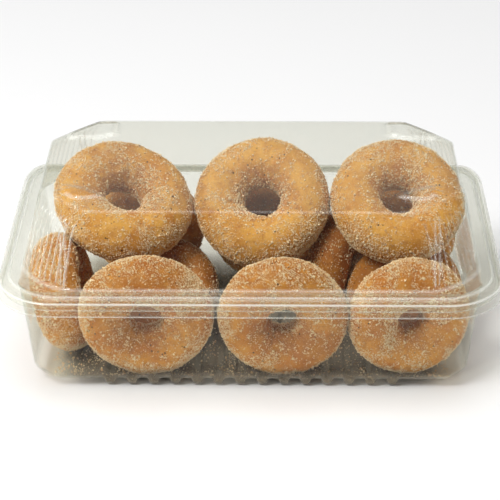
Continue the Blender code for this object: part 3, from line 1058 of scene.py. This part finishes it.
RINGS = (
    RingSpec("doughnut_top_left", (-69.2, 6.3, 75.3), 32.4, 62.5, 23.7, 13.7, 13.7),
    RingSpec("doughnut_top_middle", (5.6, 12.8, 71.6), -5.6, 50.6, 23.2, 13.7, 13.7),
    RingSpec("doughnut_top_right", (78.9, 11.1, 73.3), 9.8, 55.7, 22.7, 13.7, 13.7),
    RingSpec("doughnut_front_left", (-54.3, -52.3, 38.8), 0.0, -5.3, 21.7, 13.3, 13.3, Bake.TOASTED),
    RingSpec("doughnut_front_middle", (17.1, -52.1, 38.0), 0.0, -5.3, 20.8, 13.4, 13.3, Bake.TOASTED),
    RingSpec("doughnut_front_right", (82.9, -48.2, 36.3), 10.7, 0.0, 19.4, 13.2, 13.2, Bake.TOASTED),
    RingSpec("doughnut_side_left", (-99.8, -22.8, 35.9), 88.2, 12.0, 19.1, 13.0, 12.9, Bake.TOASTED),
    # The inner rings take the darker tones as painted shade.
    RingSpec("doughnut_inner_left", (-49.5, -8.3, 27.7), -2.7, 56.0, 19.6, 12.5, 12.5, Bake.INNER_SHADE, True),
    RingSpec("doughnut_inner_middle", (47.1, 18.4, 33.4), 69.8, -4.7, 17.2, 12.1, 12.1, Bake.INNER_SHADE, True),
    RingSpec("doughnut_inner_right", (83.4, -6.1, 27.6), -9.7, 54.6, 18.9, 12.5, 12.5, Bake.INNER_SHADE, True),
    RingSpec("doughnut_back_left", (-60.0, 49.7, 36.5), 180.0, 4.5, 20.0, 12.5, 12.5, Bake.TOASTED, True),
    RingSpec("doughnut_back_middle", (8.0, 50.1, 35.4), 180.0, 3.8, 19.0, 12.3, 12.3, Bake.TOASTED, True),
    RingSpec("doughnut_back_right", (85.8, 49.0, 34.0), 166.7, 0.0, 17.8, 12.0, 12.0, Bake.TOASTED, True),
)


@dataclass
class Doughnut:
    """One fried ring with its sugar."""

    spec: RingSpec
    number: int
    sugar: bpy.types.Material
    around_steps: int = 144
    tube_steps: int = 84
    wobble: float = 0.02
    lump_mm: float = 0.75
    pinch_mm: float = 1.1
    push_limits_mm: tuple[float, float] = (-1.6, 0.35)
    grains: int = 6600
    fine_grains: int = 18000
    coarse: Grading = Grading(0.34, 0.36, 0.18, 0.76)
    fine: Grading = Grading(0.23, 0.28, 0.13, 0.38)
    sunk: float = 0.45
    rng: np.random.Generator = field(init=False)

    def __post_init__(self) -> None:
        """Seeds this ring's own random draws, and coarsens the rings that lie inside."""
        self.rng = np.random.default_rng(700 + self.number)
        if self.spec.is_inside:
            self.around_steps, self.tube_steps = 112, 64
            self.grains, self.fine_grains = 1500, 4500

    @property
    def centre(self) -> Vector:
        """The ring's middle."""
        return Vector(self.spec.centre_mm) * MM

    @property
    def turn(self) -> Euler:
        """The turn from its own frame, where its hole is along Z."""
        return Euler((math.radians(90.0 - self.spec.elevation_deg), 0.0,
                      math.radians(self.spec.azimuth_deg)))

    def placed(self, made: bpy.types.Object) -> bpy.types.Object:
        """Moves a mesh from the ring's own frame to its place."""
        made.data.transform(Matrix.Translation(self.centre) @ self.turn.to_matrix().to_4x4())
        return made

    def swell(self, turn: np.ndarray) -> np.ndarray:
        """Gives the tube's share of its full size round the ring."""
        first = self.wobble * (1 + np.sin(2 * turn + 1.7 * self.number)) / 2
        second = self.wobble * (1 + np.sin(3 * turn + 2.9 * self.number)) / 2
        return 1 - first - second

    def surface(self) -> tuple[np.ndarray, np.ndarray]:
        """Works out the crust's points and their directions out of the plain ring."""
        turns = np.linspace(0.0, 2 * math.pi, self.around_steps, endpoint=False)
        arounds = np.linspace(0.0, 2 * math.pi, self.tube_steps, endpoint=False)
        turn, around = np.meshgrid(turns, arounds, indexing="ij")
        swell = self.swell(turn)
        width, height = self.spec.half_width_mm * MM, self.spec.half_thickness_mm * MM
        radius = self.spec.ring_radius_mm * MM + swell * width * np.cos(around)
        points = np.stack([radius * np.cos(turn), radius * np.sin(turn),
                           swell * height * np.sin(around)], axis=-1)
        normals = np.stack([np.cos(around) * np.cos(turn), np.cos(around) * np.sin(turn),
                            np.sin(around)], axis=-1)
        seed = Vector((3.1 * self.number, 1.7 * self.number, 5.3))
        flat = points.reshape(-1, 3)
        lumps = fractal(flat, 75.0, seed, octaves=2)
        pebbles = fractal(flat, 330.0, seed, 0.9, 2.1)
        folds = np.array([noise.ridged_multi_fractal(Vector(p) * 95.0 + seed, 1.0, 2.0, 3, 1.0, 2.0)
                          for p in flat])
        inward = smooth(np.cos(around), -0.1, -0.85)
        push = lumps.reshape(turn.shape) * self.lump_mm * MM
        push += pebbles.reshape(turn.shape) * (0.20 + 0.16 * inward) * MM
        push -= smooth(folds.reshape(turn.shape), 1.25, 2.0) * (0.25 + 0.75 * inward) * MM
        push -= self.pinches(turn, around) * self.pinch_mm * MM
        lowest, highest = self.push_limits_mm
        push = np.clip(push, lowest * MM, highest * MM)
        return points + normals * push[..., None], normals

    def pinches(self, turn: np.ndarray, around: np.ndarray) -> np.ndarray:
        """Gives the depth of a few uneven creases that run out of the hole, from 0 to 1."""
        depth = np.zeros(turn.shape)
        for middle in np.arange(6) * 1.05 + self.rng.uniform(-0.4, 0.4, 6):
            lean, width, reach = self.rng.uniform((-0.25, 0.035, 0.0), (0.25, 0.075, 0.55))
            away = np.angle(np.exp(1j * (turn - middle - lean * np.sin(around))))
            crease = np.exp(-(away / width) ** 2) * smooth(np.cos(around), reach, -0.9)
            depth = np.maximum(depth, crease * self.rng.uniform(0.4, 1.0))
        return depth

    def build_crust(self, points: np.ndarray) -> bpy.types.Object:
        """Makes the crust's mesh."""
        around, tube = self.around_steps, self.tube_steps
        faces = []
        for a in range(around):
            b = (a + 1) % around
            for c in range(tube):
                d = (c + 1) % tube
                faces.append((a * tube + c, b * tube + c, b * tube + d, a * tube + d))
        finish = Crust(self.spec.name + "_crust_look", self.centre, self.turn,
                       self.spec.ring_radius_mm * MM, self.spec.bake.value,
                       patch_shift=0.37 * self.number)
        return self.placed(make_object(self.spec.name + "_crust", points.reshape(-1, 3), faces,
                                       finish.build()))

    def sugar_places(self, points: np.ndarray, normals: np.ndarray,
                     count: int) -> tuple[np.ndarray, np.ndarray]:
        """Draws places for grains, thicker in patches, round the hole and on the outer edge.

        Args:
            points: The crust's points.
            normals: Their directions outward.
            count: How many grains at most.

        Returns:
            The places and their directions outward.
        """
        around, tube = self.around_steps, self.tube_steps
        draws = count * 3
        a, c = self.rng.uniform(0, around, draws), self.rng.uniform(0, tube, draws)
        ai, ci = a.astype(int), c.astype(int)
        ring, width = self.spec.ring_radius_mm, self.spec.half_width_mm
        across = np.cos(c / tube * 2 * math.pi)
        stretch = (ring + width * across) / (ring + width)
        here, there = points[ai, ci], points[(ai + 1) % around, (ci + 1) % tube]
        place = here + (there - here) * self.rng.uniform(0, 1, (draws, 1))
        seed = Vector((9.0 * self.number, 2.0, 4.0))
        patch = fractal(place, 60.0, seed)
        clump = np.array([noise.noise(Vector(p) * 260.0 + seed) for p in place])
        chance = 0.06 + 0.74 * smooth(patch, -0.02, 0.36) + 0.48 * smooth(clump, 0.08, 0.4)
        chance += 0.16 * smooth(across, 0.2, -0.7) + 0.42 * smooth(across, 0.50, 0.95)
        chance *= stretch
        chosen = np.flatnonzero(self.rng.uniform(0, 1.35, draws) < chance)[:count]
        return place[chosen], normals[ai[chosen], ci[chosen]]

    def build_sugar(self, points: np.ndarray, normals: np.ndarray) -> bpy.types.Object:
        """Scatters coarse and fine sugar grains on the crust, as one mesh."""
        parts = []
        for grain, count, grading in ((COARSE_GRAIN, self.grains, self.coarse),
                                      (FINE_GRAIN, self.fine_grains, self.fine)):
            places, out = self.sugar_places(points, normals, count)
            sizes = grading.draw(len(places), self.rng)
            centres = places + out * (sizes * self.sunk)[:, None]
            parts.append(grain.scatter(centres, sizes, self.rng))
        return self.placed(joined_grains(self.spec.name + "_sugar", parts, self.sugar))

    def build(self) -> None:
        """Makes the ring and its sugar, riding on the base in place of its node."""
        points, normals = self.surface()
        crust = self.build_crust(points)
        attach(crust, Body.BASE.value)
        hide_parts(self.spec.name)
        sugar = self.build_sugar(points, normals)
        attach(sugar, Body.BASE.value)


@dataclass
class LooseSugar:
    """Sugar that fell off the rings onto the tray's floor."""

    material: bpy.types.Material
    grains: int = 5000
    half_width_mm: float = 105.0
    front_mm: float = -56.0
    depth_mm: float = 108.0
    grading: Grading = Grading(0.27, 0.45, 0.14, 0.9)

    def build(self) -> bpy.types.Object:
        """Scatters the fallen sugar, thicker near the front wall."""
        rng = np.random.default_rng(41)
        draws = self.grains * 2
        xs = rng.uniform(-self.half_width_mm, self.half_width_mm, draws) * MM
        ys = (self.front_mm + self.depth_mm * rng.uniform(0, 1, draws) ** 1.6) * MM
        patch = fractal(np.column_stack([xs, ys, np.zeros(draws)]), 55.0, Vector())
        chance = 0.25 + smooth(patch, -0.1, 0.5)
        chosen = np.flatnonzero(rng.uniform(0, 1, draws) < chance)[:self.grains]
        sizes = self.grading.draw(len(chosen), rng)
        depth = rib_depth(xs[chosen]) * FLOOR_Z
        zs = FLOOR_Z - depth + SHEET + sizes * 0.8
        centres = np.column_stack([xs[chosen], ys[chosen], zs])
        made = joined_grains("loose_sugar", [COARSE_GRAIN.scatter(centres, sizes, rng)], self.material)
        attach(made, Body.BASE.value)
        return made


@dataclass(frozen=True)
class SoftLight:
    """A rectangular light that faces the box, from its place, its two sides and its power."""

    name: str
    place: tuple[float, float, float]
    size: tuple[float, float]
    power: float

    def build(self) -> None:
        """Hangs the light."""
        data = bpy.data.lights.new(self.name, "AREA")
        data.shape = "RECTANGLE"
        data.size, data.size_y = self.size
        data.energy = self.power
        light = bpy.data.objects.new(self.name, data)
        bpy.context.collection.objects.link(light)
        light.location = self.place
        aim = Vector((0.0, 0.0, 0.05)) - Vector(self.place)
        light.rotation_euler = aim.to_track_quat("-Z", "Y").to_euler()


LIGHTS = (
    SoftLight("key", (-0.85, -0.80, 1.45), (0.6, 0.6), 24.0),
    SoftLight("overhead", (0.0, 0.3, 2.6), (2.4, 2.0), 47.0),
    SoftLight("left_strip", (-1.25, -0.50, 0.13), (1.3, 0.07), 3.6),
    SoftLight("right_strip", (1.25, -0.55, 0.13), (1.3, 0.07), 3.0),
)


@dataclass
class Studio:
    """The floor, the soft lights and the camera."""

    camera_place: tuple[float, float, float] = (0.0116, -0.8734, 0.5232)
    look_down_deg: float = 28.5
    heading_deg: float = -0.81
    roll_deg: float = -0.17
    lens_mm: float = 131.8
    floor_reach: float = 6.0
    world_strength: float = 0.12

    def build_floor(self) -> None:
        """Lays the pale floor."""
        points = np.array([(-1, -1, 0), (1, -1, 0), (1, 1, 0), (-1, 1, 0)]) * self.floor_reach
        floor = make_object("studio_floor", points, [(0, 1, 2, 3)], StudioFloor().build(), False)

    def build_camera(self) -> None:
        """Sets the camera where the photograph was taken from."""
        data = bpy.data.cameras.new("camera")
        data.sensor_width = 36.0
        data.lens = self.lens_mm
        data.clip_end = 50.0
        camera = bpy.data.objects.new("camera", data)
        bpy.context.collection.objects.link(camera)
        heading = Matrix.Rotation(math.radians(-self.heading_deg), 4, "Z")
        tilt = Matrix.Rotation(math.radians(90.0 - self.look_down_deg), 4, "X")
        roll = Matrix.Rotation(math.radians(self.roll_deg), 4, "Z")
        camera.matrix_world = Matrix.Translation(self.camera_place) @ heading @ tilt @ roll
        bpy.context.scene.camera = camera

    def build(self) -> None:
        """Sets up the whole studio."""
        self.build_floor()
        for light in LIGHTS:
            light.build()
        world = bpy.data.worlds.new("studio_world")
        world.use_nodes = True
        sky = world.node_tree.nodes["Background"].inputs
        sky["Color"].default_value = (1.0, 1.0, 1.0, 1.0)
        sky["Strength"].default_value = self.world_strength
        scene = bpy.context.scene
        scene.world = world
        scene.view_settings.view_transform = "Standard"
        scene.cycles.transparent_max_bounces = 32
        self.build_camera()


def main() -> None:
    """Builds the pieces in order."""
    logging.basicConfig(level=logging.INFO, format="%(message)s")
    Tray(ClearSheet("tray_sheet_look", residue_and_shade=0.60)).build()
    Lid(ClearSheet("lid_sheet_look")).build()
    LOG.info("tray and lid built")
    sugar = SugarFinish("sugar_look").build()
    for number, spec in enumerate(RINGS):
        Doughnut(spec, number, sugar).build()
    LooseSugar(sugar).build()
    LOG.info("%d rings built", len(RINGS))
    Studio().build()


if __name__ == "__main__":
    main()
